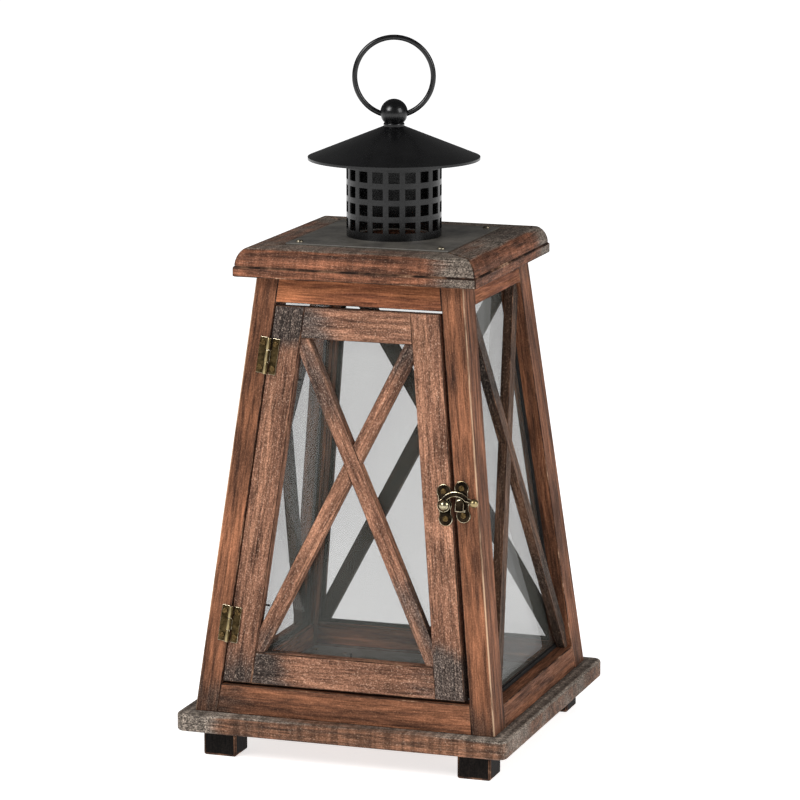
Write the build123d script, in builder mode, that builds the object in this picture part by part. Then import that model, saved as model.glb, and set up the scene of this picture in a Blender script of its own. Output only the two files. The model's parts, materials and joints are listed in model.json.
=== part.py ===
from build123d import *
import os
from math import atan2, cos, degrees, hypot, radians, sin, sqrt

os.makedirs("parts", exist_ok=True)

# ---------------------------------------------------------------- sizes (mm)
# feet and base board
foot_w = 22.0
foot_h = 18.0
foot_inset = 14.0
foot_ease = 1.0
base_overhang = 10.0
base_t = 12.0
base_corner_r = 6.0
base_edge_r = 2.0

# tapered case: square at the bottom, smaller square under the cap
case_w_bottom = 200.0
case_w_top = 136.4
case_h = 277.5
post_across_front = 15.0
post_across_side = 22.0
post_arris_r = 1.2
rail_t = 15.0
front_bottom_rail_h = 18.2
front_top_rail_h = 16.5
side_bottom_rail_h = 15.0
side_top_rail_h = 15.0

# lattice and glass
slat_w = 10.0
side_slat_depth = 3.0
side_slat_t = 6.0
side_glass_depth = 10.5
glass_t = 2.0
glass_edge_play = 0.2
bead_w = 2.4

# door
door_t = 12.0
door_stile_w = 19.0
door_rail_w = 20.0
door_gap_hinge = 1.0
door_gap_latch_bottom = 3.2
door_gap_latch_top = 1.8
door_gap_bottom = 2.0
door_gap_top = 1.8
door_slat_depth = 1.5
door_rebate_w = 4.0
door_rebate_depth = 8.0
door_glass_play = 0.4
glazing_pin_r = 0.6
glazing_pin_len = 5.5
glazing_pin_inset = 48.0
glazing_pin_gap = 0.1

# butt hinges
hinge_len = 23.0
hinge_reach = 6.6
leaf_t = 1.0
hinge_barrel_r = 1.6
hinge_barrel_clear = 0.3
hinge_pin_r = 0.8
hinge_pin_play = 0.05
hinge_knuckle_gap = 0.3
hinge_root_x = 0.85
hinge_from_door_bottom = 37.0
hinge_from_door_top = 32.0
hinge_screw_end_inset = 3.7

# small screws of hinges and latch
screw_head_r = 1.8
screw_head_h = 0.6
screw_shank_r = 0.8
screw_len = 7.0
head_flat_edge = 0.25

# swing latch
latch_lobe_r = 4.6
latch_lobe_pitch = 8.5
latch_waist_w = 7.6
latch_from_door_bottom = 122.4
latch_door_inset = 4.4
keeper_inset = 5.0
keeper_raise = 2.7
rivet_shank_r = 1.5
rivet_play = 0.05
rivet_head_r = 3.2
rivet_head_h = 1.7
rivet_len = 6.0
rivet_head_gap = 0.3
arm_lift = 1.9
arm_t = 1.5
arm_boss_r = 4.2
arm_w = 3.2
arch_r = 9.4
arch_out = 7.8
arch_drop = 1.9
arch_end_deg = 44.0
arm_neck_w = 2.6
ball_r = 2.8
ball_lift = 4.1
ball_out = 20.0
ball_raise = 2.7
tongue_w = 5.6
tongue_len = 4.8
tongue_t = 1.0
tongue_lift = 2.4
tongue_from_arch_out = 2.6
tongue_from_arch_up = 3.4

# cap, top plate, vent, roof; the vent's pierced side and the ring face vent_turn degrees right of front
vent_turn = 18.7
cap_overhang = 11.8
cap_t = 18.0
cap_lip_h = 6.3
cap_step = 1.0
cap_ovolo_w = 7.4
cap_hole_w = 70.0
plate_w = 108.0
plate_t = 1.0
plate_ledge = 1.0
plate_screw_inset = 7.0
plate_screw_head_r = 2.4
plate_screw_head_h = 1.4
plate_screw_shank_r = 1.2
plate_screw_len = 12.0
tube_r = 30.4
tube_t = 0.9
tube_hole_w = 7.0
tube_hole_rows = 4
tube_hole_columns = 9
tube_column_step_deg = 20.0
tube_hole_pitch = 10.6
tube_first_row_up = 8.5
roof_r = 55.0
roof_rim_up = 51.4
roof_apex_up = 70.8
roof_flat_r = 7.0
roof_t = 1.0
roof_hem_h = 1.6

# finial, collar and ring
collar_r = 6.7
collar_h = 2.4
collar_edge_r = 1.0
stud_r = 2.0
stud_play = 0.3
finial_r = 8.8
finial_up = 5.9
finial_gap = 0.3
nut_across = 7.0
nut_h = 3.0
nut_gap = 0.3
stud_tail = 1.0
ring_r = 24.9
ring_wire_r = 1.7
ring_play = 0.9
ring_hole_below_ball = 1.2

# floor plate
floor_gap_x = 2.0
floor_gap_y = 1.0
floor_t = 0.8
nail_head_r = 1.6
nail_head_h = 0.6
nail_shank_r = 0.6
nail_len = 6.0
nail_insets = [(5.0, 10.0), (27.0, 15.0)]

# ---------------------------------------------------------------- derived
base_w = case_w_bottom + 2 * base_overhang
base_z = foot_h
case_z = base_z + base_t
cap_z = case_z + case_h
plate_z = cap_z + cap_t
tube_z = plate_z + plate_t
half_bottom = case_w_bottom / 2
half_top = case_w_top / 2
lean = half_bottom - half_top
face_tilt = atan2(lean, case_h)
face_len = hypot(lean, case_h)
taper = lean / face_len
edge_tilt = atan2(lean, face_len)
roof_rim_z = plate_z + roof_rim_up
roof_apex_z = plate_z + roof_apex_up
roof_slope = (roof_apex_z - roof_rim_z) / (roof_r - roof_flat_r)
roof_drop = roof_t * hypot(1.0, roof_slope)
collar_z = roof_apex_z
finial_z = collar_z + collar_h + finial_gap
ball_centre_z = finial_z + finial_up
ring_axis_z = ball_centre_z - ring_hole_below_ball
ring_hole_r = ring_wire_r + ring_play
ring_hole_half = sqrt(finial_r**2 - ring_hole_below_ball**2)
ring_rise_in_hole = ring_r - sqrt(ring_r**2 - ring_hole_half**2)
ring_centre_z = ring_axis_z + ring_r - ring_rise_in_hole / 2
hinge_axis_lift = hinge_barrel_r + hinge_barrel_clear
hinge_leaf_start = hinge_barrel_r + hinge_barrel_clear
hinge_screw_out = (hinge_leaf_start + hinge_reach) / 2
hinge_screw_up = hinge_len / 2 - hinge_screw_end_inset
plate_hole_r = tube_r - tube_t - plate_ledge
plate_screw_out = plate_w / 2 - plate_screw_inset
floor_half_x = half_bottom - max(rail_t, post_across_front) - floor_gap_x
floor_half_y = half_bottom - max(rail_t, post_across_side) - floor_gap_y
FRONT, RIGHT, BACK, LEFT = 0, 1, 2, 3
SIDE_NAMES = {RIGHT: "right", BACK: "back", LEFT: "left"}


def face_plane(side, depth=0.0):
    """Plane of a sloping side, moved level into the case by depth; y runs up the slope."""
    turn = 90.0 * side
    origin = Vector(0, depth - half_bottom, case_z).rotate(Axis.Z, turn)
    across = Vector(1, 0, 0).rotate(Axis.Z, turn)
    outward = Vector(0, -cos(face_tilt), sin(face_tilt)).rotate(Axis.Z, turn)
    return Plane(origin=origin, x_dir=across, z_dir=outward)


def inward(side):
    """Level direction into the case from a side."""
    return Vector(0, 1, 0).rotate(Axis.Z, 90.0 * side)


def half_width(up):
    """Half the width of a side, measured up its slope."""
    return half_bottom - taper * up


def up_slope(height):
    """Distance up the slope that reaches a height above the case's bottom."""
    return height * face_len / case_h


def post_across(side):
    return post_across_front if side in (FRONT, BACK) else post_across_side


def opening(side, low, high, play=0.0):
    """Corners of the opening between two posts, from low to high up the slope."""
    reach_low = half_width(low) - post_across(side) - play
    reach_high = half_width(high) - post_across(side) - play
    return [
        (-reach_low, low + play),
        (reach_low, low + play),
        (reach_high, high - play),
        (-reach_high, high - play),
    ]


def save(builder, label):
    builder.part.label = label
    export_step(builder.part, f"parts/{label}.step")


def level_prism(side, depth, thickness, corners):
    """Outline on a sloping side, given its thickness along the level."""
    with BuildPart() as prism:
        with BuildSketch(face_plane(side, depth)):
            Polygon(*corners, align=None)
        extrude(amount=thickness, dir=inward(side))
    return prism


def slat_outline(corners, rising):
    """One diagonal strip of a lattice, trimmed to the opening it crosses."""
    low_left, low_right, high_right, high_left = corners
    start, end = (low_left, high_right) if rising else (low_right, high_left)
    middle = ((start[0] + end[0]) / 2, (start[1] + end[1]) / 2)
    run, rise = end[0] - start[0], end[1] - start[1]
    Polygon(*corners, align=None)
    with Locations(middle):
        Rectangle(
            2 * hypot(run, rise), slat_w, rotation=degrees(atan2(rise, run)), mode=Mode.INTERSECT
        )


def hinge_plane(up):
    """Plane on the case's front at a hinge: y along the pin, z outward."""
    face = face_plane(FRONT)
    gap_x = -(half_width(up) - post_across_front - door_gap_hinge / 2)
    origin = face.from_local_coords(Vector(gap_x, up, 0))
    across = face.x_dir * cos(edge_tilt) - face.y_dir * sin(edge_tilt)
    return Plane(origin=origin, x_dir=across, z_dir=face.z_dir)


def latch_plane(x, up):
    """Plane on the case's front at a latch plate: y along the right-hand stile."""
    face = face_plane(FRONT)
    origin = face.from_local_coords(Vector(x, up, 0))
    across = face.x_dir * cos(edge_tilt) + face.y_dir * sin(edge_tilt)
    return Plane(origin=origin, x_dir=across, z_dir=face.z_dir)


def spots(plane, points, lift=0.0):
    return [plane * Location((x, y, lift)) for x, y in points]


door_low = up_slope(front_bottom_rail_h) + door_gap_bottom
door_high = up_slope(case_h - front_top_rail_h) - door_gap_top


def door_left(up):
    """Hinge edge of the door."""
    return -(half_width(up) - post_across_front - door_gap_hinge)


def door_right(up):
    """Latch edge of the door; its gap widens towards the bottom."""
    share = (up - door_low) / (door_high - door_low)
    gap = door_gap_latch_bottom + share * (door_gap_latch_top - door_gap_latch_bottom)
    return half_width(up) - post_across_front - gap


hinge_ups = {
    "lower": door_low + hinge_from_door_bottom,
    "upper": door_high - hinge_from_door_top,
}
post_screw_spots = []
door_screw_spots = []
for up in hinge_ups.values():
    for sign in (-1, 1):
        height = sign * hinge_screw_up
        post_screw_spots += spots(hinge_plane(up), [(-hinge_screw_out, height)])
        door_screw_spots += spots(hinge_plane(up), [(hinge_screw_out, height)])

pivot_up = door_low + latch_from_door_bottom
pivot_x = door_right(pivot_up) - latch_door_inset
keeper_up = pivot_up + keeper_raise
keeper_x = half_width(keeper_up) - post_across_front + keeper_inset
door_plate_plane = latch_plane(pivot_x, pivot_up)
post_plate_plane = latch_plane(keeper_x, keeper_up)
latch_holes = [(0.0, latch_lobe_pitch), (0.0, -latch_lobe_pitch)]
keeper_screw_spots = spots(post_plate_plane, latch_holes)
door_plate_screw_spots = spots(door_plate_plane, latch_holes)
rivet_spot = spots(door_plate_plane, [(0.0, 0.0)])

plate_screw_spots = []
nail_spots = []
for sx in (-1, 1):
    for sy in (-1, 1):
        plate_screw_spots.append(Location((sx * plate_screw_out, sy * plate_screw_out, tube_z)))
        for inset_x, inset_y in nail_insets:
            nail_x, nail_y = floor_half_x - inset_x, floor_half_y - inset_y
            nail_spots.append(Location((sx * nail_x, sy * nail_y, case_z + floor_t)))


def drill(locations, radius, length):
    """Straight holes running in from each location."""
    with Locations(*locations):
        Cylinder(radius, length, align=(Align.CENTER, Align.CENTER, Align.MAX), mode=Mode.SUBTRACT)


def screws(locations, head_r, head_h, shank_r, length, head_lift):
    """Separate round-headed screws or nails, heads standing on whatever is head_lift thick."""
    upward = (Align.CENTER, Align.CENTER, Align.MIN)
    with BuildPart() as screw:
        with Locations((0, 0, -length)):
            Cylinder(shank_r, length + head_lift, align=upward)
        with Locations((0, 0, head_lift)):
            Cylinder(head_r, head_h, align=upward)
        fillet(screw.faces().sort_by(Axis.Z)[-1].edges(), head_h - head_flat_edge)
    with BuildPart() as group:
        with Locations(*locations):
            add(screw.part)
    return group


# ---------------------------------------------------------------- feet and base
foot_centre = base_w / 2 - foot_inset - foot_w / 2
for sx, x_name in ((-1, "left"), (1, "right")):
    for sy, y_name in ((-1, "front"), (1, "back")):
        with BuildPart() as foot:
            with BuildSketch():
                with Locations((sx * foot_centre, sy * foot_centre)):
                    Rectangle(foot_w, foot_w)
            extrude(amount=foot_h)
            chamfer(foot.edges().filter_by(Axis.Z), foot_ease)
            chamfer(foot.faces().sort_by(Axis.Z)[0].edges(), foot_ease)
        save(foot, f"foot_{y_name}_{x_name}")

with BuildPart() as base_board:
    with BuildSketch(Plane.XY.offset(base_z)):
        RectangleRounded(base_w, base_w, base_corner_r)
    extrude(amount=base_t)
    fillet(base_board.faces().sort_by(Axis.Z)[-1].edges(), base_edge_r)
    fillet(base_board.faces().sort_by(Axis.Z)[0].edges(), base_edge_r)
    drill(nail_spots, nail_shank_r, nail_len)
save(base_board, "base_board")

# ---------------------------------------------------------------- case frame
post_len = hypot(hypot(lean, lean), case_h)
for sx, x_name in ((-1, "left"), (1, "right")):
    for sy, y_name in ((-1, "front"), (1, "back")):
        post_x = sx * (half_bottom - post_across_front / 2)
        post_y = sy * (half_bottom - post_across_side / 2)
        with BuildPart() as post:
            with BuildSketch(Plane.XY.offset(case_z)) as section:
                with Locations((post_x, post_y)):
                    Rectangle(post_across_front, post_across_side)
                corner = section.vertices().sort_by_distance(Vector(sx * base_w, sy * base_w, case_z))[0]
                fillet(corner, post_arris_r)
            extrude(amount=post_len, dir=(-sx * lean, -sy * lean, case_h))
            if (sx, sy) == (-1, -1):
                drill(post_screw_spots, screw_shank_r, screw_len)
            if (sx, sy) == (1, -1):
                drill(keeper_screw_spots, screw_shank_r, screw_len)
        save(post, f"post_{y_name}_{x_name}")

for side, name in ((FRONT, "front"), (RIGHT, "right"), (BACK, "back"), (LEFT, "left")):
    bottom_h = front_bottom_rail_h if side == FRONT else side_bottom_rail_h
    top_h = front_top_rail_h if side == FRONT else side_top_rail_h
    bottom_rail = level_prism(side, 0, rail_t, opening(side, 0, up_slope(bottom_h)))
    save(bottom_rail, f"bottom_rail_{name}")
    top_rail = level_prism(side, 0, rail_t, opening(side, up_slope(case_h - top_h), face_len))
    save(top_rail, f"top_rail_{name}")

# ---------------------------------------------------------------- fixed windows
window_low = up_slope(side_bottom_rail_h)
window_high = up_slope(case_h - side_top_rail_h)
for side, name in SIDE_NAMES.items():
    pane = opening(side, window_low, window_high, glass_edge_play)
    glass = level_prism(side, side_glass_depth, glass_t, pane)
    save(glass, f"glass_{name}")
    corners = opening(side, window_low, window_high)
    for rising, slat_name in ((True, "rising"), (False, "falling")):
        lap_depth = side_slat_depth if rising else side_slat_depth + side_slat_t / 2
        with BuildPart() as slat:
            with BuildSketch(face_plane(side, side_slat_depth)):
                slat_outline(corners, rising)
            extrude(amount=side_slat_t, dir=inward(side))
            with BuildSketch(face_plane(side, lap_depth)):
                slat_outline(corners, not rising)
            extrude(amount=side_slat_t / 2, dir=inward(side), mode=Mode.SUBTRACT)
        save(slat, f"slat_{name}_{slat_name}")

slat_back_depth = side_slat_depth + side_slat_t
with BuildPart() as glazing_beads:
    for side in SIDE_NAMES:
        with BuildSketch(face_plane(side, slat_back_depth)):
            Polygon(*opening(side, window_low, window_high), align=None)
            Polygon(*opening(side, window_low, window_high, bead_w), align=None, mode=Mode.SUBTRACT)
        extrude(amount=side_glass_depth - slat_back_depth, dir=inward(side))
save(glazing_beads, "glazing_beads")

# ---------------------------------------------------------------- floor plate
with BuildPart() as floor_plate:
    with BuildSketch(Plane.XY.offset(case_z)):
        Rectangle(2 * floor_half_x, 2 * floor_half_y)
    extrude(amount=floor_t)
    drill(nail_spots, nail_shank_r, nail_len)
save(floor_plate, "floor_plate")

floor_nails = screws(nail_spots, nail_head_r, nail_head_h, nail_shank_r, nail_len, 0.0)
save(floor_nails, "floor_nails")

# ---------------------------------------------------------------- door


def door_outline(left_in, right_in, low_in, high_in):
    """Corners of the door's outline drawn in from each edge."""
    low, high = door_low + low_in, door_high - high_in
    return [
        (door_left(low) + left_in, low),
        (door_right(low) - right_in, low),
        (door_right(high) - right_in, high),
        (door_left(high) + left_in, high),
    ]


door_open = door_outline(door_stile_w, door_stile_w, door_rail_w, door_rail_w)
rebate = door_outline(
    door_stile_w - door_rebate_w,
    door_stile_w - door_rebate_w,
    door_rail_w - door_rebate_w,
    door_rail_w - door_rebate_w,
)


def door_member(corners):
    """Stile or rail of the door, with the step for the glass cut from its back.

    The door's top edge is square to its face, so the gap over it widens inwards."""
    top_edge = face_plane(FRONT).from_local_coords(Vector(0, door_high, 0))
    with BuildPart() as member:
        with BuildSketch(face_plane(FRONT)):
            Polygon(*corners, align=None)
        extrude(amount=door_t, dir=inward(FRONT))
        with BuildSketch(face_plane(FRONT, door_rebate_depth)):
            Polygon(*rebate, align=None)
        extrude(amount=door_t, dir=inward(FRONT), mode=Mode.SUBTRACT)
        split(bisect_by=Plane(origin=top_edge, z_dir=face_plane(FRONT).y_dir), keep=Keep.BOTTOM)
    return member


door_full = door_outline(0, 0, 0, 0)
stile_inner = door_outline(door_stile_w, door_stile_w, 0, 0)
with BuildPart() as door_stile_hinge:
    add(door_member([door_full[0], stile_inner[0], stile_inner[3], door_full[3]]).part)
    drill(door_screw_spots, screw_shank_r, screw_len)
save(door_stile_hinge, "door_stile_hinge")

with BuildPart() as door_stile_latch:
    add(door_member([stile_inner[1], door_full[1], door_full[2], stile_inner[2]]).part)
    drill(door_plate_screw_spots, screw_shank_r, screw_len)
    drill(rivet_spot, rivet_shank_r, rivet_len)
save(door_stile_latch, "door_stile_latch")

door_rail_bottom = door_member([stile_inner[0], stile_inner[1], door_open[1], door_open[0]])
save(door_rail_bottom, "door_rail_bottom")
door_rail_top = door_member([door_open[3], door_open[2], stile_inner[2], stile_inner[3]])
save(door_rail_top, "door_rail_top")

door_slat_t = door_rebate_depth - door_slat_depth
for rising, slat_name in ((True, "rising"), (False, "falling")):
    lap_start = door_slat_depth if rising else door_slat_depth + door_slat_t / 2
    with BuildPart() as door_slat:
        with BuildSketch(face_plane(FRONT, door_slat_depth)):
            slat_outline(door_open, rising)
        extrude(amount=door_slat_t, dir=inward(FRONT))
        with BuildSketch(face_plane(FRONT, lap_start)):
            slat_outline(door_open, not rising)
        extrude(amount=door_slat_t / 2, dir=inward(FRONT), mode=Mode.SUBTRACT)
    save(door_slat, f"door_slat_{slat_name}")

pane_in_x = door_stile_w - door_rebate_w + door_glass_play
pane_in_y = door_rail_w - door_rebate_w + door_glass_play
pane = door_outline(pane_in_x, pane_in_x, pane_in_y, pane_in_y)
door_glass = level_prism(FRONT, door_rebate_depth, glass_t, pane)
save(door_glass, "door_glass")

pin_plane = face_plane(FRONT, door_rebate_depth + glass_t + glazing_pin_r + glazing_pin_gap)
with BuildPart() as door_glazing_pins:
    for up in (door_low + glazing_pin_inset, door_high - glazing_pin_inset):
        left_wall = door_left(up) + door_stile_w - door_rebate_w
        right_wall = door_right(up) - door_stile_w + door_rebate_w
        for wall, way in ((left_wall, 1), (right_wall, -1)):
            middle = wall + way * (glazing_pin_len / 2 + glazing_pin_gap)
            with Locations(pin_plane * Location((middle, up, 0), (0, 90, 0))):
                Cylinder(glazing_pin_r, glazing_pin_len)
    for wall, way in ((rebate[0][1], 1), (rebate[2][1], -1)):
        middle = wall + way * (glazing_pin_len / 2 + glazing_pin_gap)
        with Locations(pin_plane * Location((0, middle, 0), (90, 0, 0))):
            Cylinder(glazing_pin_r, glazing_pin_len)
save(door_glazing_pins, "door_glazing_pins")

# ---------------------------------------------------------------- hinges
knuckle_len = (hinge_len - 2 * hinge_knuckle_gap) / 3
knuckle_step = knuckle_len + hinge_knuckle_gap


def hinge_leaf(plane, way, knuckle_centres):
    """Leaf lying on the wood on one side of the pin, with its own knuckles."""
    screw_points = [(way * hinge_screw_out, sign * hinge_screw_up) for sign in (-1, 1)]
    with BuildPart() as leaf:
        with BuildSketch(plane):
            with Locations((way * (hinge_leaf_start + hinge_reach) / 2, 0)):
                Rectangle(hinge_reach - hinge_leaf_start, hinge_len)
            for centre in knuckle_centres:
                with Locations((way * (hinge_root_x + hinge_reach) / 2, centre)):
                    Rectangle(hinge_reach - hinge_root_x, knuckle_len)
        extrude(amount=leaf_t)
        for centre in knuckle_centres:
            with Locations(plane * Location((0, centre, hinge_axis_lift), (90, 0, 0))):
                Cylinder(hinge_barrel_r, knuckle_len)
        bore_r = hinge_pin_r if way < 0 else hinge_pin_r + hinge_pin_play
        with Locations(plane * Location((0, 0, hinge_axis_lift), (90, 0, 0))):
            Cylinder(bore_r, 2 * hinge_len, mode=Mode.SUBTRACT)
        with Locations(*spots(plane, screw_points)):
            Cylinder(screw_shank_r, 2 * leaf_t, mode=Mode.SUBTRACT)
    return leaf


with BuildPart() as hinge_pins:
    for up in hinge_ups.values():
        with Locations(hinge_plane(up) * Location((0, 0, hinge_axis_lift), (90, 0, 0))):
            Cylinder(hinge_pin_r, hinge_len)
save(hinge_pins, "hinge_pins")

for name, up in hinge_ups.items():
    save(hinge_leaf(hinge_plane(up), -1, [-knuckle_step, knuckle_step]), f"hinge_{name}_post_leaf")
    save(hinge_leaf(hinge_plane(up), 1, [0.0]), f"hinge_{name}_door_leaf")

screw_size = (screw_head_r, screw_head_h, screw_shank_r, screw_len, leaf_t)
post_screws = screws(post_screw_spots + keeper_screw_spots, *screw_size)
save(post_screws, "post_screws")
door_screws = screws(door_screw_spots + door_plate_screw_spots, *screw_size)
save(door_screws, "door_screws")

# ---------------------------------------------------------------- latch


def latch_plate_outline():
    """Plate of three round lobes joined by a narrower web."""
    with Locations((0, latch_lobe_pitch), (0, 0), (0, -latch_lobe_pitch)):
        Circle(latch_lobe_r)
    Rectangle(latch_waist_w, 2 * latch_lobe_pitch)


with BuildPart() as latch_door_plate:
    with BuildSketch(door_plate_plane):
        latch_plate_outline()
        with Locations(*latch_holes):
            Circle(screw_shank_r, mode=Mode.SUBTRACT)
        Circle(rivet_shank_r, mode=Mode.SUBTRACT)
    extrude(amount=leaf_t)
save(latch_door_plate, "latch_door_plate")

head_base = arm_lift + arm_t + rivet_head_gap
with BuildPart() as latch_rivet:
    with Locations(door_plate_plane):
        Cylinder(rivet_shank_r, rivet_len, align=(Align.CENTER, Align.CENTER, Align.MAX))
        Cylinder(rivet_shank_r, head_base, align=(Align.CENTER, Align.CENTER, Align.MIN))
    dome_r = (rivet_head_r**2 + rivet_head_h**2) / (2 * rivet_head_h)
    dome_plane = Plane(
        door_plate_plane.origin, x_dir=door_plate_plane.x_dir, z_dir=-door_plate_plane.y_dir
    )
    with BuildSketch(dome_plane):
        with BuildLine():
            Line((0, head_base), (rivet_head_r, head_base))
            RadiusArc((rivet_head_r, head_base), (0, head_base + rivet_head_h), -dome_r)
            Line((0, head_base + rivet_head_h), (0, head_base))
        make_face()
    revolve(axis=Axis(door_plate_plane.origin, door_plate_plane.z_dir))
save(latch_rivet, "latch_rivet")

front = face_plane(FRONT)
arch_x, arch_up = pivot_x + arch_out, pivot_up - arch_drop
ball_x, ball_up = pivot_x + ball_out, pivot_up + ball_raise
arch_sweep_deg = 180 - degrees(atan2(arch_drop, arch_out)) - arch_end_deg
neck_x = arch_x + arch_r * cos(radians(arch_end_deg))
neck_up = arch_up + arch_r * sin(radians(arch_end_deg))
with BuildPart() as latch_arm:
    with BuildSketch(front.offset(arm_lift)):
        with BuildLine():
            CenterArc((arch_x, arch_up), arch_r, arch_end_deg, arch_sweep_deg)
        trace(line_width=arm_w)
        with BuildLine():
            Line((neck_x, neck_up), (ball_x, ball_up))
        trace(line_width=arm_neck_w)
        with Locations((neck_x, neck_up)):
            Circle(arm_w / 2)
        with Locations((pivot_x, pivot_up)):
            Circle(arm_boss_r)
    extrude(amount=arm_t)
    with Locations(front * Location((ball_x, ball_up, ball_lift))):
        Sphere(ball_r)
    with Locations(front * Location((pivot_x, pivot_up, 0))):
        Cylinder(rivet_shank_r + rivet_play, 4 * arm_lift, mode=Mode.SUBTRACT)
save(latch_arm, "latch_arm")

tongue_x = arch_x + tongue_from_arch_out
tongue_up = arch_up + tongue_from_arch_up
tongue_foot_up = tongue_up - tongue_len
with BuildPart() as latch_keeper:
    with BuildSketch(post_plate_plane):
        latch_plate_outline()
        with Locations(*latch_holes):
            Circle(screw_shank_r, mode=Mode.SUBTRACT)
    extrude(amount=leaf_t)
    with BuildSketch(front.offset(tongue_lift)):
        with Locations((tongue_x, (tongue_up + tongue_foot_up) / 2)):
            Rectangle(tongue_w, tongue_up - tongue_foot_up)
        with Locations((tongue_x, tongue_up)):
            Circle(tongue_w / 2)
    extrude(amount=tongue_t)
    with BuildSketch(front.offset(leaf_t)):
        with Locations((tongue_x, tongue_foot_up + tongue_t / 2)):
            Rectangle(tongue_w, tongue_t)
    extrude(amount=tongue_lift - leaf_t)
save(latch_keeper, "latch_keeper")

# ---------------------------------------------------------------- cap
cap_reach = half_top + cap_overhang
cap_top_reach = cap_reach - cap_step - cap_ovolo_w
cap_ovolo_h = cap_t - cap_lip_h
for side, name in ((FRONT, "front"), (RIGHT, "right"), (BACK, "back"), (LEFT, "left")):
    with BuildPart() as moulding:
        with BuildSketch(Plane(origin=(0, 0, cap_z), x_dir=(0, -1, 0), z_dir=(-1, 0, 0))):
            with BuildLine():
                Polyline(
                    (cap_top_reach, cap_t),
                    (cap_hole_w / 2, cap_t),
                    (cap_hole_w / 2, 0),
                    (cap_reach, 0),
                    (cap_reach, cap_lip_h),
                    (cap_reach - cap_step, cap_lip_h),
                )
                EllipticalCenterArc(
                    (cap_top_reach, cap_lip_h), cap_ovolo_w, cap_ovolo_h, start_angle=0, arc_size=90
                )
            make_face()
        extrude(amount=cap_reach, both=True)
        split(bisect_by=Plane(origin=(0, 0, 0), z_dir=(1, -1, 0)), keep=Keep.TOP)
        split(bisect_by=Plane(origin=(0, 0, 0), z_dir=(-1, -1, 0)), keep=Keep.TOP)
    with BuildPart() as cap_moulding:
        add(moulding.part, rotation=(0, 0, 90 * side))
        drill(plate_screw_spots, plate_screw_shank_r, plate_screw_len)
    save(cap_moulding, f"cap_moulding_{name}")

# ---------------------------------------------------------------- top plate and vent
with BuildPart() as top_plate:
    with BuildSketch(Plane.XY.offset(plate_z)):
        Rectangle(plate_w, plate_w)
        Circle(plate_hole_r, mode=Mode.SUBTRACT)
    extrude(amount=plate_t)
    drill(plate_screw_spots, plate_screw_shank_r, plate_screw_len)
save(top_plate, "top_plate")

plate_screw_size = (plate_screw_head_r, plate_screw_head_h, plate_screw_shank_r, plate_screw_len)
top_plate_screws = screws(plate_screw_spots, *plate_screw_size, 0.0)
save(top_plate_screws, "top_plate_screws")

tube_top_z = roof_rim_z + roof_slope * (roof_r - tube_r) - roof_drop
pierced_arc = (tube_hole_columns - 1) * tube_column_step_deg
first_column = vent_turn - 90.0 - pierced_arc / 2
with BuildPart() as vent_tube:
    with BuildSketch(Plane.XY.offset(tube_z)):
        Circle(tube_r)
        Circle(tube_r - tube_t, mode=Mode.SUBTRACT)
    extrude(amount=tube_top_z - tube_z)
    for row in range(tube_hole_rows):
        row_z = tube_z + tube_first_row_up + row * tube_hole_pitch
        with Locations((0, 0, row_z)):
            with PolarLocations(tube_r, tube_hole_columns, first_column, pierced_arc, endpoint=True):
                Box(4 * tube_t, tube_hole_w, tube_hole_w, mode=Mode.SUBTRACT)
save(vent_tube, "vent_tube")

# ---------------------------------------------------------------- roof, collar, finial
with BuildPart() as roof_cone:
    with BuildSketch(Plane.XZ):
        with BuildLine():
            Polyline(
                (stud_r + stud_play, roof_apex_z),
                (roof_flat_r, roof_apex_z),
                (roof_r, roof_rim_z),
                (roof_r, roof_rim_z - roof_hem_h),
                (roof_r - roof_t, roof_rim_z - roof_hem_h),
                (roof_r - roof_t, roof_rim_z - roof_drop + roof_slope * roof_t),
                (roof_flat_r - roof_slope * roof_t / 2, roof_apex_z - roof_t),
                (stud_r + stud_play, roof_apex_z - roof_t),
                close=True,
            )
        make_face()
    revolve(axis=Axis.Z)
save(roof_cone, "roof_cone")

with BuildPart() as roof_collar:
    with BuildSketch(Plane.XY.offset(collar_z)):
        Circle(collar_r)
        Circle(stud_r + stud_play, mode=Mode.SUBTRACT)
    extrude(amount=collar_h)
    fillet(roof_collar.faces().sort_by(Axis.Z)[-1].edges().sort_by(SortBy.RADIUS)[-1], collar_edge_r)
save(roof_collar, "roof_collar")

ring_dir = Vector(1, 0, 0).rotate(Axis.Z, vent_turn)
ring_normal = Vector(0, -1, 0).rotate(Axis.Z, vent_turn)
nut_z = roof_apex_z - roof_t - nut_gap - nut_h
with BuildPart() as finial:
    with Locations((0, 0, ball_centre_z)):
        Sphere(finial_r)
    split(bisect_by=Plane.XY.offset(finial_z), keep=Keep.TOP)
    with BuildSketch(Plane.XY.offset(nut_z - stud_tail)):
        Circle(stud_r)
    extrude(amount=finial_z - nut_z + stud_tail)
    with BuildSketch(Plane(origin=ring_dir * -finial_r + Vector(0, 0, ring_axis_z), z_dir=ring_dir)):
        Circle(ring_hole_r)
    extrude(amount=2 * finial_r, mode=Mode.SUBTRACT)
save(finial, "finial")

with BuildPart() as finial_nut:
    with BuildSketch(Plane.XY.offset(nut_z)):
        RegularPolygon(nut_across / 2, 6, major_radius=False)
        Circle(stud_r, mode=Mode.SUBTRACT)
    extrude(amount=nut_h)
save(finial_nut, "finial_nut")

ring_centre = Vector(0, 0, ring_centre_z)
with BuildPart() as ring_handle:
    with BuildSketch(Plane(origin=ring_centre + ring_dir * ring_r, x_dir=ring_dir, z_dir=(0, 0, 1))):
        Circle(ring_wire_r)
    revolve(axis=Axis(ring_centre, ring_normal))
save(ring_handle, "ring_handle")
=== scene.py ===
import json
import math

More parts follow.
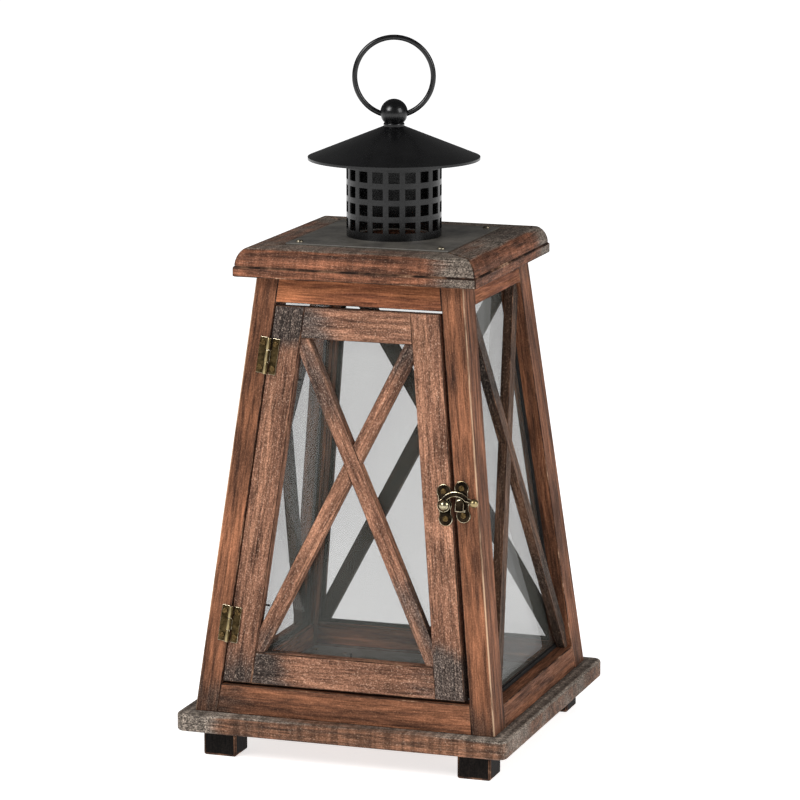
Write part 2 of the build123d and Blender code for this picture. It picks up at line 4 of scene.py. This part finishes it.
import bmesh
import bpy
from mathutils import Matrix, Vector


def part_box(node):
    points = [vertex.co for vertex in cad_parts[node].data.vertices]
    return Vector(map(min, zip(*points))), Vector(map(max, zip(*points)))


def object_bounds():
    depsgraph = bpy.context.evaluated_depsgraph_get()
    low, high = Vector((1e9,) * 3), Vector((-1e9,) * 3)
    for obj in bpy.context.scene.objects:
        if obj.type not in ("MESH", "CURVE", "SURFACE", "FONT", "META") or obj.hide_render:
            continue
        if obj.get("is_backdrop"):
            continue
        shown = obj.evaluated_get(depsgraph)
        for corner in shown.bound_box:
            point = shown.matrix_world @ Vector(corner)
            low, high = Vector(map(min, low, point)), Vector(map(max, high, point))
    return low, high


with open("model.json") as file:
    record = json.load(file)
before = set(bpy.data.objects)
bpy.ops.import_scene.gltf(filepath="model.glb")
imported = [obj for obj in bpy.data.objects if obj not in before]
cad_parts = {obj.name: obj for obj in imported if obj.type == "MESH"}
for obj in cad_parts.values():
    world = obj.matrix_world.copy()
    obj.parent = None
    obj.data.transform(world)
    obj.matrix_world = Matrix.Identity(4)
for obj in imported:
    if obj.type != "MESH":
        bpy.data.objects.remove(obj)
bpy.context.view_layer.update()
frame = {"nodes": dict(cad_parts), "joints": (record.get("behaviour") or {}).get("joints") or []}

# ---------------------------------------------------------------- sizes (metres)
MM = 0.001
X, Y, Z = Vector((1, 0, 0)), Vector((0, 1, 0)), Vector((0, 0, 1))
CAMERA_SPOT = Vector((0.8116, -2.3868, 0.7079))
CAMERA_AIM = Vector((0.0040, 0.0, 0.2193))
CAMERA_LENS = 179.6
LANTERN_MIDDLE = Vector((0, 0, 0.22))
POST_ACROSS_FRONT = 15 * MM
DOOR_STILE = 19 * MM
DOOR_THICKNESS = 12 * MM

# rounds on the pieces' edges
WOOD_ROUND = 0.5 * MM
CAP_ROUND = 0.7 * MM
SLAT_ROUND = 0.35 * MM
PLATE_ROUND = 0.3 * MM
HINGE_ROUND = 0.15 * MM
SCREW_ROUND = 0.3 * MM
LATCH_ROUND = 0.35 * MM

# scale of the wood's patterns
FIGURE_WIDTH = 5 * MM
BRUSH_SPACING = 1.1 * MM
PORE_SIZE = 0.7 * MM
CHATTER_SPACING = 6 * MM
DRIFT_SIZE = 70 * MM
SMOKE_SIZE = 40 * MM
END_FADE = (45 * MM, 3 * MM)
DUST_FADE = (1.6 * MM, 0.3 * MM)
ARRIS_FADE = (0.45 * MM, 1.1 * MM)
EDGE_PATCH = 14 * MM
SEED_STEP = 1.7

# scale of the other materials' patterns
MOTTLE_SIZE = 18 * MM
PEEL_SIZE = 1.6 * MM
SPANGLE_SIZE = 9 * MM
ZINC_CLOUD = 30 * MM
GLASS_FILM = 35 * MM

# stage
FLOOR_HALF = 12.0
SOFTBOX_SIDE = 1.2
KEY_WATTS = 58
FILL_WATTS = 32

nodes = frame["nodes"]


# ---------------------------------------------------------------- colours and nodes
def paint(hex_code):
    """sRGB hex to linear colour with alpha 1."""
    channels = [int(hex_code[i : i + 2], 16) / 255 for i in (1, 3, 5)]
    linear = [c / 12.92 if c <= 0.04045 else ((c + 0.055) / 1.055) ** 2.4 for c in channels]
    return (*linear, 1.0)


def add(tree, kind, inputs=None, stops=(), **settings):
    """One shader node with its settings, socket values and links; stops are (position, hex) colour stops."""
    made = tree.nodes.new("ShaderNode" + kind)
    for key, value in settings.items():
        setattr(made, key, value)
    for _ in stops[2:]:
        made.color_ramp.elements.new(0.5)
    for element, (position, hex_code) in zip(made.color_ramp.elements if stops else (), stops):
        element.position = position
        element.color = paint(hex_code)
    for key, value in (inputs or {}).items():
        if isinstance(value, bpy.types.NodeSocket):
            tree.links.new(value, made.inputs[key])
        else:
            made.inputs[key].default_value = value
    return made


def new_material(name):
    """Empty material: its node tree and its Principled shader."""
    made = bpy.data.materials.new(name)
    made.use_nodes = True
    return made, made.node_tree, made.node_tree.nodes["Principled BSDF"]


# ---------------------------------------------------------------- wood
cut = []


def grain_turn(along):
    """Euler turn that carries the X axis onto the grain."""
    return tuple(along.normalized().to_track_quat("X", "Z").to_euler())


def stained_wood(
    name, middle, along, length, tones, seed, smoke, ends, speckle, arris=None, dust=None, bars=0.0
):
    """Brushed softwood with a brown stain rubbed back by hand. It gives the eye streaks along the grain,
    smoky patches, greyer ends, one at each end's own strength, and pale specks of wash in the pores.
    arris is a spot on the outer arris, along which a pale line is painted as its highlight, with the stain
    rubbed thin there, dust the height of a flat top gone grey, and bars the strength of the saw's chatter
    across the grain."""
    made, tree, shader = new_material(name)
    spot = add(tree, "TexCoord").outputs["Object"]
    placed = {"Vector": spot, "Location": tuple(middle), "Rotation": grain_turn(along)}
    local = add(tree, "Mapping", placed, vector_type="TEXTURE").outputs["Vector"]
    # growth figure, drawn out twelve times along the grain
    long_way = add(tree, "VectorMath", {0: local, 1: (1 / 12, 1, 1)}, operation="MULTIPLY").outputs[0]
    figure = add(
        tree,
        "TexNoise",
        {
            "Vector": long_way,
            "W": seed,
            "Scale": 1 / FIGURE_WIDTH,
            "Detail": 5.0,
            "Roughness": 0.7,
            "Distortion": 0.4,
        },
        noise_dimensions="4D",
    ).outputs["Fac"]
    # brush lines, sixteen times as long as they are wide
    brush_way = add(tree, "VectorMath", {0: local, 1: (1 / 16, 1, 1)}, operation="MULTIPLY").outputs[0]
    brush = add(
        tree,
        "TexNoise",
        {"Vector": brush_way, "W": seed + 3.1, "Scale": 1 / BRUSH_SPACING, "Detail": 3.0, "Roughness": 0.7},
        noise_dimensions="4D",
    ).outputs["Fac"]
    # pores and specks, coarser than real so that they show
    pore_way = add(tree, "VectorMath", {0: local, 1: (0.7, 1, 1)}, operation="MULTIPLY").outputs[0]
    pores = add(
        tree,
        "TexNoise",
        {"Vector": pore_way, "W": seed + 1.3, "Scale": 1 / PORE_SIZE, "Detail": 2.0, "Roughness": 0.6},
        noise_dimensions="4D",
    ).outputs["Fac"]
    figure_tones = [(0.33, tones["dark"]), (0.46, tones["mid"]), (0.62, tones["light"])]
    body = add(tree, "ValToRGB", {"Fac": figure}, figure_tones).outputs["Color"]
    brush_shade = add(
        tree, "MapRange", {"Value": brush, "From Min": 0.33, "From Max": 0.67, "To Min": 0.42, "To Max": 1.4}
    ).outputs["Result"]
    darkest, lightest = 1.0 - speckle, 1.0 + speckle
    pore_shade = add(
        tree,
        "MapRange",
        {"Value": pores, "From Min": 0.34, "From Max": 0.66, "To Min": darkest, "To Max": lightest},
    ).outputs["Result"]
    shade = add(tree, "Math", {0: brush_shade, 1: pore_shade}, operation="MULTIPLY").outputs[0]
    run = add(tree, "SeparateXYZ", {0: local}).outputs["X"]
    if bars:
        # saw chatter: darker bars across the grain
        spaced = {"W": run, "Scale": 1 / CHATTER_SPACING, "Detail": 2.0}
        chatter = add(tree, "TexNoise", spaced, noise_dimensions="1D").outputs["Fac"]
        bar_shade = add(
            tree,
            "MapRange",
            {"Value": chatter, "From Min": 0.4, "From Max": 0.6, "To Min": 1.0 - bars, "To Max": 1.0 + bars},
        ).outputs["Result"]
        shade = add(tree, "Math", {0: shade, 1: bar_shade}, operation="MULTIPLY").outputs[0]
    # slow drift of the stain from darker to lighter
    drift = add(
        tree,
        "TexNoise",
        {"Vector": local, "W": seed + 5.9, "Scale": 1 / DRIFT_SIZE, "Detail": 2.0},
        noise_dimensions="4D",
    ).outputs["Fac"]
    drift_shade = add(
        tree, "MapRange", {"Value": drift, "From Min": 0.35, "From Max": 0.65, "To Min": 0.72, "To Max": 1.25}
    ).outputs["Result"]
    shade = add(tree, "Math", {0: shade, 1: drift_shade}, operation="MULTIPLY").outputs[0]
    grey_shade = add(tree, "CombineColor", {0: shade, 1: shade, 2: shade}).outputs["Color"]
    # smoky patches, stronger towards the ends of the piece
    smoke_way = add(tree, "VectorMath", {0: local, 1: (0.45, 1, 1)}, operation="MULTIPLY").outputs[0]
    patches = add(
        tree,
        "TexNoise",
        {"Vector": smoke_way, "W": seed + 7.7, "Scale": 1 / SMOKE_SIZE, "Detail": 6.0, "Roughness": 0.65},
        noise_dimensions="4D",
    ).outputs["Fac"]
    smoke_level = patches
    for way, amount in zip((-1, 1), ends):
        near_end = add(
            tree,
            "MapRange",
            {
                "Value": run,
                "From Min": way * (length / 2 - END_FADE[0]),
                "From Max": way * (length / 2 - END_FADE[1]),
                "To Max": amount,
            },
            interpolation_type="SMOOTHSTEP",
        ).outputs["Result"]
        smoke_level = add(tree, "Math", {0: near_end, 1: smoke_level}, operation="ADD").outputs[0]
    if dust is not None:
        # the flat top has gone grey where dust and wax sit in the grain
        height = add(tree, "SeparateXYZ", {0: spot}).outputs["Z"]
        grey_from, grey_full = (dust - below for below in DUST_FADE)
        topped = add(
            tree, "MapRange", {"Value": height, "From Min": grey_from, "From Max": grey_full, "To Max": 0.3}
        ).outputs["Result"]
        smoke_level = add(tree, "Math", {0: smoke_level, 1: topped}, operation="ADD").outputs[0]
    smoke_mask = add(
        tree,
        "MapRange",
        {
            "Value": smoke_level,
            "From Min": 0.72 - smoke * 0.4,
            "From Max": 1.02 - smoke * 0.35,
            "To Max": 0.92,
        },
        interpolation_type="SMOOTHSTEP",
    ).outputs["Result"]
    smoke_tones = [(0.36, tones["smoke"]), (0.64, tones["ash"])]
    smoke_tone = add(tree, "ValToRGB", {"Fac": pores}, smoke_tones).outputs["Color"]
    body = add(tree, "Mix", {"Factor": smoke_mask, 6: body, 7: smoke_tone}, data_type="RGBA").outputs[2]
    body = add(
        tree, "Mix", {"Factor": 1.0, 6: body, 7: grey_shade}, data_type="RGBA", blend_type="MULTIPLY"
    ).outputs[2]
    wash_mask = add(
        tree, "MapRange", {"Value": pores, "From Min": 0.58, "From Max": 0.76, "To Max": speckle}
    ).outputs["Result"]
    wash = paint(tones["wash"])
    body = add(tree, "Mix", {"Factor": wash_mask, 6: body, 7: wash}, data_type="RGBA").outputs[2]
    if arris is not None:
        # painted highlight: a pale line along the outer arris, where its round catches the light, also where
        # the stain is rubbed off
        placed = {"Vector": spot, "Location": tuple(arris), "Rotation": grain_turn(along)}
        on_arris = add(tree, "Mapping", placed, vector_type="TEXTURE").outputs["Vector"]
        beside = add(tree, "VectorMath", {0: on_arris, 1: (0, 1, 1)}, operation="MULTIPLY").outputs[0]
        away = add(tree, "VectorMath", {0: beside}, operation="LENGTH").outputs["Value"]
        bare_to, stained_from = ARRIS_FADE
        rubbed = add(
            tree,
            "MapRange",
            {"Value": away, "From Min": bare_to, "From Max": stained_from, "To Min": 1.0, "To Max": 0.0},
        ).outputs["Result"]
        broken = add(
            tree,
            "MapRange",
            {"Value": figure, "From Min": 0.42, "From Max": 0.52, "To Min": 0.1, "To Max": 0.7},
        ).outputs["Result"]
        rubbed = add(tree, "Math", {0: rubbed, 1: broken}, operation="MULTIPLY").outputs[0]
        pale_lit_arris_tone = paint("#d9b999")
        body = add(tree, "Mix", {"Factor": rubbed, 6: body, 7: pale_lit_arris_tone}, data_type="RGBA").outputs[2]
    tree.links.new(body, shader.inputs["Base Color"])
    rough = add(
        tree, "MapRange", {"Value": brush, "From Min": 0.3, "From Max": 0.7, "To Min": 0.78, "To Max": 0.5}
    ).outputs["Result"]
    tree.links.new(rough, shader.inputs["Roughness"])
    shader.inputs["Specular IOR Level"].default_value = 0.1
    relief = add(tree, "Mix", {"Factor": 0.4, 2: brush, 3: pores}, data_type="FLOAT").outputs[0]
    bump = add(tree, "Bump", {"Height": relief, "Strength": 0.6, "Distance": 0.4 * MM}).outputs["Normal"]
    tree.links.new(bump, shader.inputs["Normal"])
    return made


def shade_and_wear_edge():
    """Rounds on the wooden edges, darkened as painted shade so that the joints between pieces read as dark
    seams. It gives the eye dark rounds broken by pale patches where handling has taken the stain off.
    """
    made, tree, shader = new_material("shade_and_wear_edge")
    spot = add(tree, "TexCoord").outputs["Object"]
    patchy = {"Vector": spot, "Scale": 1 / EDGE_PATCH, "Detail": 6.0, "Roughness": 0.7}
    patches = add(tree, "TexNoise", patchy).outputs["Fac"]
    # painted shade: mostly dark tones on every wooden round, with pale patches where handling has taken the
    # stain off
    shade_and_wear_tones = [(0.44, "#261a14"), (0.52, "#4a3428"), (0.6, "#6d4f3c"), (0.7, "#b8957a")]
    body = add(tree, "ValToRGB", {"Fac": patches}, shade_and_wear_tones).outputs["Color"]
    tree.links.new(body, shader.inputs["Base Color"])
    shader.inputs["Roughness"].default_value = 0.7
    shader.inputs["Specular IOR Level"].default_value = 0.1
    return made


def stain(*tones):
    """One stain's tones by name: three of the figure, two of the smoky patches, and the wash in the pores."""
    return dict(zip(("light", "mid", "dark", "smoke", "ash", "wash"), tones))


# red-brown case, the same stain painted lighter for the rails in shade, a paler whitened door, dull slats,
# greyed cap and base, near-black feet
CASE = stain("#8a5a40", "#63402e", "#332018", "#1a1411", "#443a33", "#b08a6d")
# painted light: a lighter copy of the case's stain, for the top rails in the cap's shadow and the back and
# left bottom rails in the dim inside
SHADE_LIFTED_RAIL = stain("#9c6241", "#74452f", "#42271b", "#211712", "#4c3c32", "#b98c6a")
DOOR = stain("#9c7058", "#785442", "#3f2a20", "#262221", "#57504b", "#d6bda7")
SLAT = stain("#654a3a", "#4a382d", "#2a201a", "#1f1b19", "#4a433e", "#a8937f")
CAP = stain("#86563f", "#5e3c2c", "#33221b", "#3a3530", "#7c7369", "#b9a18d")
BASE = stain("#815a44", "#5e4334", "#33261f", "#4e4843", "#998e82", "#c0ad9a")
FOOT = stain("#22130c", "#150c07", "#0a0604", "#060403", "#15110e", "#3a332d")

edge_shade_and_wear = shade_and_wear_edge()


def ease_edges(piece, width, round_takes_second=True):
    """Joins a node's loose triangles and rounds its corners, with its second material on the round: painted
    shade and pale stain loss on the wood, a painted highlight on the brass.
    """
    weld = piece.modifiers.new("weld", "WELD")
    weld.merge_threshold = 0.002 * MM
    flat = piece.modifiers.new("flat", "DECIMATE")
    flat.decimate_type = "DISSOLVE"
    flat.angle_limit = math.radians(0.5)
    eased = piece.modifiers.new("eased", "BEVEL")
    eased.width = width
    eased.segments = 2
    eased.limit_method = "ANGLE"
    eased.angle_limit = math.radians(40)
    eased.use_clamp_overlap = False
    eased.material = 1 if round_takes_second else -1


def finish_piece(name, *materials):
    """Puts the materials on a node's own slots."""
    piece = nodes[name]
    piece.data.materials.clear()
    for material in materials:
        piece.data.materials.append(material)
    return piece


def wood_piece(name, along, tones, edge=WOOD_ROUND, **looks):
    """Gives a wooden node its own cut of wood, with the grain along it."""
    low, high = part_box(name)
    length = abs((high - low).dot(along.normalized()))
    seed = len(cut) * SEED_STEP
    cut.append(name)
    wood = stained_wood(name + "_wood", (low + high) / 2, along, length, tones, seed, **looks)
    ease_edges(finish_piece(name, wood, edge_shade_and_wear), edge)


post_low, post_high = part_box("post_front_left")
lean = (post_high.x - post_low.x) - POST_ACROSS_FRONT
rise = post_high.z - post_low.z
for sx, x_name in ((-1, "left"), (1, "right")):
    for sy, y_name in ((-1, "front"), (1, "back")):
        foot = f"foot_{y_name}_{x_name}"
        wood_piece(foot, Z, FOOT, smoke=0.5, ends=(0.3, 0.3), speckle=0.15)
        post = f"post_{y_name}_{x_name}"
        low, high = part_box(post)
        outer = Vector((high.x if sx > 0 else low.x, high.y if sy > 0 else low.y, low.z))
        along = Vector((-sx * lean, -sy * lean, rise))
        wood_piece(post, along, CASE, smoke=0.2, ends=(0.3, 0.2), speckle=0.25, arris=outer)

for name, along in (("front", X), ("right", Y), ("back", X), ("left", Y)):
    # painted light: the back and left bottom rails, in the shade inside the glass, take the lighter copy of
    # the stain
    low_tones = SHADE_LIFTED_RAIL if name in ("back", "left") else CASE
    wood_piece(f"bottom_rail_{name}", along, low_tones, smoke=0.15, ends=(0.25, 0.15), speckle=0.25)
    wood_piece(f"top_rail_{name}", along, SHADE_LIFTED_RAIL, smoke=0.1, ends=(0.1, 0.2), speckle=0.2)
    cap_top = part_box(f"cap_moulding_{name}")[1].z
    moulding = f"cap_moulding_{name}"
    wood_piece(
        moulding, along, CAP, CAP_ROUND, smoke=0.35, ends=(0.05, 0.5), speckle=0.35, dust=cap_top, bars=0.2
    )
base_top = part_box("base_board")[1].z
wood_piece("base_board", X, BASE, smoke=0.35, ends=(0.6, 0.25), speckle=0.35, dust=base_top, bars=0.3)

# a rising slat climbs from corner to corner of its opening, towards this side in x and in y
SLAT_SIGNS = {"right": (-1, 1), "back": (-1, -1), "left": (1, -1), "door": (1, 1)}
for side, (sx, sy) in SLAT_SIGNS.items():
    for way, name in ((1, "rising"), (-1, "falling")):
        slat = f"door_slat_{name}" if side == "door" else f"slat_{side}_{name}"
        low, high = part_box(slat)
        span = high - low
        crossing = "x" if side in ("door", "back") else "y"
        along = Vector((sx * span.x, sy * span.y, span.z))
        if way < 0:
            setattr(along, crossing, -getattr(along, crossing))
        tones = DOOR if side == "door" else SLAT
        wood_piece(slat, along, tones, SLAT_ROUND, smoke=0.35, ends=(0.3, 0.3), speckle=0.45)

for stile, way, ends in (("door_stile_hinge", 1, (0.35, 0.75)), ("door_stile_latch", -1, (0.65, 0.1))):
    low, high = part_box(stile)
    span = high - low
    along = Vector((way * (span.x - DOOR_STILE), span.y - DOOR_THICKNESS, span.z))
    wood_piece(stile, along, DOOR, smoke=0.3, ends=ends, speckle=0.5)
for rail, ends in (("door_rail_top", (0.35, 0.1)), ("door_rail_bottom", (0.6, 0.2))):
    wood_piece(rail, X, DOOR, smoke=0.25, ends=ends, speckle=0.5)


# ---------------------------------------------------------------- metals and glass
def enamelled_steel(name, tone, sheen_tone, rough, peel_size=PEEL_SIZE):
    """Steel with a painted or enamelled coat. It gives the eye a soft sheen, mottling and orange peel."""
    made, tree, shader = new_material(name)
    spot = add(tree, "TexCoord").outputs["Object"]
    mottled = {"Vector": spot, "Scale": 1 / MOTTLE_SIZE, "Detail": 5.0, "Roughness": 0.65}
    mottle = add(tree, "TexNoise", mottled).outputs["Fac"]
    body = add(tree, "ValToRGB", {"Fac": mottle}, [(0.35, tone), (0.7, sheen_tone)])
    tree.links.new(body.outputs["Color"], shader.inputs["Base Color"])
    peel = add(tree, "TexNoise", {"Vector": spot, "Scale": 1 / peel_size, "Detail": 3.0}).outputs["Fac"]
    uneven = add(
        tree,
        "MapRange",
        {"Value": peel, "From Min": 0.3, "From Max": 0.7, "To Min": rough - 0.07, "To Max": rough + 0.08},
    )
    tree.links.new(uneven.outputs["Result"], shader.inputs["Roughness"])
    shader.inputs["Specular IOR Level"].default_value = 0.4
    bump = add(tree, "Bump", {"Height": peel, "Strength": 0.25, "Distance": 0.08 * MM})
    tree.links.new(bump.outputs["Normal"], shader.inputs["Normal"])
    return made


def aged_brass(name, tone, dark, rough, tarnish_size, polish_and_highlight_about=None):
    """Cast or pressed brass left to tarnish. It gives the eye brown clouds over a yellow metal, and where a
    spot, a direction and a reach are given,
    a bright part about that line: brass polished by fingers on the latch's ball, a painted highlight on the
    hinge's knuckle."""
    made, tree, shader = new_material(name)
    spot = add(tree, "TexCoord").outputs["Object"]
    tarnish = add(
        tree, "TexNoise", {"Vector": spot, "Scale": 1 / tarnish_size, "Detail": 5.0, "Roughness": 0.7}
    ).outputs["Fac"]
    body = add(tree, "ValToRGB", {"Fac": tarnish}, [(0.4, dark), (0.62, tone)]).outputs["Color"]
    if polish_and_highlight_about:
        centre, along, reach = polish_and_highlight_about
        placed = {"Vector": spot, "Location": tuple(centre), "Rotation": grain_turn(along)}
        local = add(tree, "Mapping", placed, vector_type="TEXTURE").outputs["Vector"]
        beside = add(tree, "VectorMath", {0: local, 1: (0, 1, 1)}, operation="MULTIPLY").outputs[0]
        away = add(tree, "VectorMath", {0: beside}, operation="LENGTH").outputs["Value"]
        bright = add(
            tree,
            "MapRange",
            {"Value": away, "From Min": reach * 0.85, "From Max": reach, "To Min": 0.85, "To Max": 0.0},
        ).outputs["Result"]
        # a painted highlight on the hinge's knuckle; on the latch's ball, brass polished by fingers
        polish_and_highlight_tone = paint("#a4936c")
        body = add(tree, "Mix", {"Factor": bright, 6: body, 7: polish_and_highlight_tone}, data_type="RGBA").outputs[2]
    tree.links.new(body, shader.inputs["Base Color"])
    shader.inputs["Metallic"].default_value = 1.0
    uneven = add(
        tree,
        "MapRange",
        {"Value": tarnish, "From Min": 0.35, "From Max": 0.65, "To Min": rough + 0.12, "To Max": rough},
    )
    tree.links.new(uneven.outputs["Result"], shader.inputs["Roughness"])
    bump = add(tree, "Bump", {"Height": tarnish, "Strength": 0.3, "Distance": 0.1 * MM})
    tree.links.new(bump.outputs["Normal"], shader.inputs["Normal"])
    return made


def galvanised_sheet():
    """Hot-dip galvanised sheet. It gives the eye a dull grey with soft spangle patches."""
    made, tree, shader = new_material("galvanised_sheet")
    spot = add(tree, "TexCoord").outputs["Object"]
    spangle = add(tree, "TexVoronoi", {"Vector": spot, "Scale": 1 / SPANGLE_SIZE})
    cloud = add(tree, "TexNoise", {"Vector": spot, "Scale": 1 / ZINC_CLOUD, "Detail": 5.0})
    both = {"Factor": 0.35, 2: cloud.outputs["Fac"], 3: spangle.outputs["Distance"]}
    mixed = add(tree, "Mix", both, data_type="FLOAT").outputs[0]
    body = add(tree, "ValToRGB", {"Fac": mixed}, [(0.25, "#77786f"), (0.6, "#9a9c98")])
    tree.links.new(body.outputs["Color"], shader.inputs["Base Color"])
    shader.inputs["Metallic"].default_value = 0.55
    shader.inputs["Roughness"].default_value = 0.5
    return made


def window_glass():
    """Thin float glass. It gives the eye a grey veil, heavier in a slanting view, as dusty glass has."""
    made, tree, shader = new_material("window_glass")
    spot = add(tree, "TexCoord").outputs["Object"]
    film = add(tree, "TexNoise", {"Vector": spot, "Scale": 1 / GLASS_FILM, "Detail": 4.0})
    body = add(tree, "ValToRGB", {"Fac": film.outputs["Fac"]}, [(0.3, "#4d4e4a"), (0.7, "#565752")])
    tree.links.new(body.outputs["Color"], shader.inputs["Base Color"])
    # a slanting view passes more glass and film, so it dims more
    slant = add(tree, "LayerWeight", {"Blend": 0.5}).outputs["Facing"]
    haze = add(tree, "MapRange", {"Value": slant, "From Max": 0.7, "To Min": 0.2, "To Max": 0.33})
    tree.links.new(haze.outputs["Result"], shader.inputs["Alpha"])
    shader.inputs["Roughness"].default_value = 0.04
    shader.inputs["IOR"].default_value = 1.52
    return made


# smooth enamel on the roof, vent and ring: near black with crisp highlights
black_steel = enamelled_steel("black_enamel", "#060607", "#0f0f10", 0.27)
# painted reflection: the flat black plate's enamel is dull, and coloured grey for the bright room that it
# reflects
plate_reflection_grey = enamelled_steel("black_sheet_painted_grey", "#46433f", "#66625b", 0.45, PEEL_SIZE / 0.6)
# matt black paint on the beads and pins that hold the panes; the beads' black is painted shade, for the
# shadow in the rebate at the glass's edge
bead_shade_paint = enamelled_steel("glazing_shade_black", "#0d0c0c", "#171615", 0.6)

# painted highlight: a bright line on the knuckle's front, a little to the outside of its axis, where the
# light catches the barrel
hinge_axis = next(joint for joint in frame["joints"] if joint["name"] == "door_hinge")
knuckle_lit_side = Vector((-0.5, -1.7, 0)) * MM
knuckle_highlight_line = (Vector(hinge_axis["pos_m"]) + knuckle_lit_side, Vector(hinge_axis["axis"]), 1.1 * MM)
hinge_brass = aged_brass("antique_hinge_brass", "#594a30", "#2b2314", 0.34, 4 * MM, knuckle_highlight_line)
# the pins' ends turn in the knuckles and stay bright
knuckle_brass = aged_brass("polished_knuckle_brass", "#e8d6ac", "#a58d5c", 0.25, 2 * MM)
# the latch is darkened to near black, but for the ball that a finger lifts
latch_bronze = aged_brass("dark_latch_bronze", "#3a3024", "#120e0a", 0.3, 4 * MM)
arm_tip = max((vertex.co for vertex in nodes["latch_arm"].data.vertices), key=lambda spot: spot.x)
arm_ball = (Vector((arm_tip.x - 2.3 * MM, 0, arm_tip.z)), Y, 2.8 * MM)
arm_bronze = aged_brass("latch_arm_bronze", "#3a3024", "#120e0a", 0.3, 4 * MM, arm_ball)
# the rounds on the hinge, latch and screw edges get a painted highlight, the rivet catches the light, the
# hinge and latch screws have gone brown, and the screws and nails in the sheet metal are pale and dull
edge_highlight_brass = aged_brass("brass_edge_highlight", "#ddd2b8", "#857556", 0.22, 3 * MM)
rivet_brass = aged_brass("bright_rivet_brass", "#bfb598", "#6e634b", 0.22, 3 * MM)
screw_brass = aged_brass("tarnished_screw_brass", "#7a6340", "#3a2e1a", 0.32, 1.2 * MM)
screw_steel = aged_brass("dull_screw_steel", "#c7bda6", "#6d6455", 0.3, 1.5 * MM)
zinc = galvanised_sheet()
glass = window_glass()

for name in ("roof_cone", "roof_collar", "finial", "finial_nut", "ring_handle", "vent_tube"):
    finish_piece(name, black_steel)
ease_edges(finish_piece("top_plate", plate_reflection_grey), PLATE_ROUND, round_takes_second=False)
for name in ("glass_right", "glass_back", "glass_left", "door_glass"):
    finish_piece(name, glass)
for name in ("glazing_beads", "door_glazing_pins"):
    finish_piece(name, bead_shade_paint)
for level in ("lower", "upper"):
    for leaf in ("post_leaf", "door_leaf"):
        ease_edges(finish_piece(f"hinge_{level}_{leaf}", hinge_brass, edge_highlight_brass), HINGE_ROUND)
finish_piece("hinge_pins", knuckle_brass)
for name in ("post_screws", "door_screws"):
    ease_edges(finish_piece(name, screw_brass, edge_highlight_brass), SCREW_ROUND)
for name in ("latch_door_plate", "latch_keeper"):
    ease_edges(finish_piece(name, latch_bronze, edge_highlight_brass), LATCH_ROUND)
ease_edges(finish_piece("latch_arm", arm_bronze, edge_highlight_brass), LATCH_ROUND)
finish_piece("latch_rivet", rivet_brass)
finish_piece("floor_plate", zinc)
for name in ("floor_nails", "top_plate_screws"):
    finish_piece(name, screw_steel)

# ---------------------------------------------------------------- floor, light and camera
floor_mesh = bmesh.new()
bmesh.ops.create_grid(floor_mesh, x_segments=1, y_segments=1, size=FLOOR_HALF)
floor_data = bpy.data.meshes.new("studio_floor")
floor_mesh.to_mesh(floor_data)
floor_mesh.free()
floor = bpy.data.objects.new("studio_floor", floor_data)
bpy.context.scene.collection.objects.link(floor)
# white paper floor that glows a little, so that shadows on it stay faint
pale, pale_tree, pale_shader = new_material("pale_floor")
floor_spot = add(pale_tree, "TexCoord").outputs["Object"]
floor_cloud = add(pale_tree, "TexNoise", {"Vector": floor_spot, "Scale": 2.0}).outputs["Fac"]
floor_body = add(pale_tree, "ValToRGB", {"Fac": floor_cloud}, [(0.3, "#f2f2f2"), (0.7, "#f6f6f6")])
pale_tree.links.new(floor_body.outputs["Color"], pale_shader.inputs["Base Color"])
pale_shader.inputs["Roughness"].default_value = 0.9
pale_shader.inputs["Emission Color"].default_value = (1, 1, 1, 1)
pale_shader.inputs["Emission Strength"].default_value = 0.7
floor_data.materials.append(pale)
floor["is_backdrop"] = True

world = bpy.data.worlds.new("studio")
bpy.context.scene.world = world
world.use_nodes = True
# the camera sees a white wall, and other rays a soft room
sky = world.node_tree
rays = add(sky, "LightPath").outputs
seen, glossed = rays["Is Camera Ray"], rays["Is Glossy Ray"]
white = (1, 1, 1, 1)
white_wall = add(sky, "Background", {"Color": white, "Strength": 1.0}).outputs[0]
soft_room = add(sky, "Background", {"Color": white, "Strength": 0.4}).outputs[0]
# gloss sees a dim room, which keeps black metal black between its highlights
dim_room = add(sky, "Background", {"Color": white, "Strength": 0.1}).outputs[0]
room = add(sky, "MixShader", {0: glossed, 1: soft_room, 2: dim_room}).outputs[0]
backdrop = add(sky, "MixShader", {0: seen, 1: room, 2: white_wall}).outputs[0]
sky.links.new(backdrop, sky.nodes["World Output"].inputs["Surface"])
bpy.context.scene.view_settings.view_transform = "Standard"


def softbox(name, spot, watts):
    """Square area light aimed at the lantern's middle."""
    data = bpy.data.lights.new(name, "AREA")
    data.shape = "SQUARE"
    data.size = SOFTBOX_SIDE
    data.energy = watts
    lamp = bpy.data.objects.new(name, data)
    lamp.location = spot
    lamp.rotation_euler = (LANTERN_MIDDLE - Vector(spot)).to_track_quat("-Z", "Y").to_euler()
    bpy.context.scene.collection.objects.link(lamp)


softbox("key_light", (-1.2, -2.0, 1.9), KEY_WATTS)
softbox("fill_light", (2.4, -0.7, 1.3), FILL_WATTS)

camera_data = bpy.data.cameras.new("camera")
camera_data.sensor_width = 36
camera_data.lens = CAMERA_LENS
camera = bpy.data.objects.new("camera", camera_data)
camera.location = CAMERA_SPOT
camera.rotation_euler = (CAMERA_AIM - CAMERA_SPOT).to_track_quat("-Z", "Y").to_euler()
bpy.context.scene.collection.objects.link(camera)
bpy.context.scene.camera = camera

low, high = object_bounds()
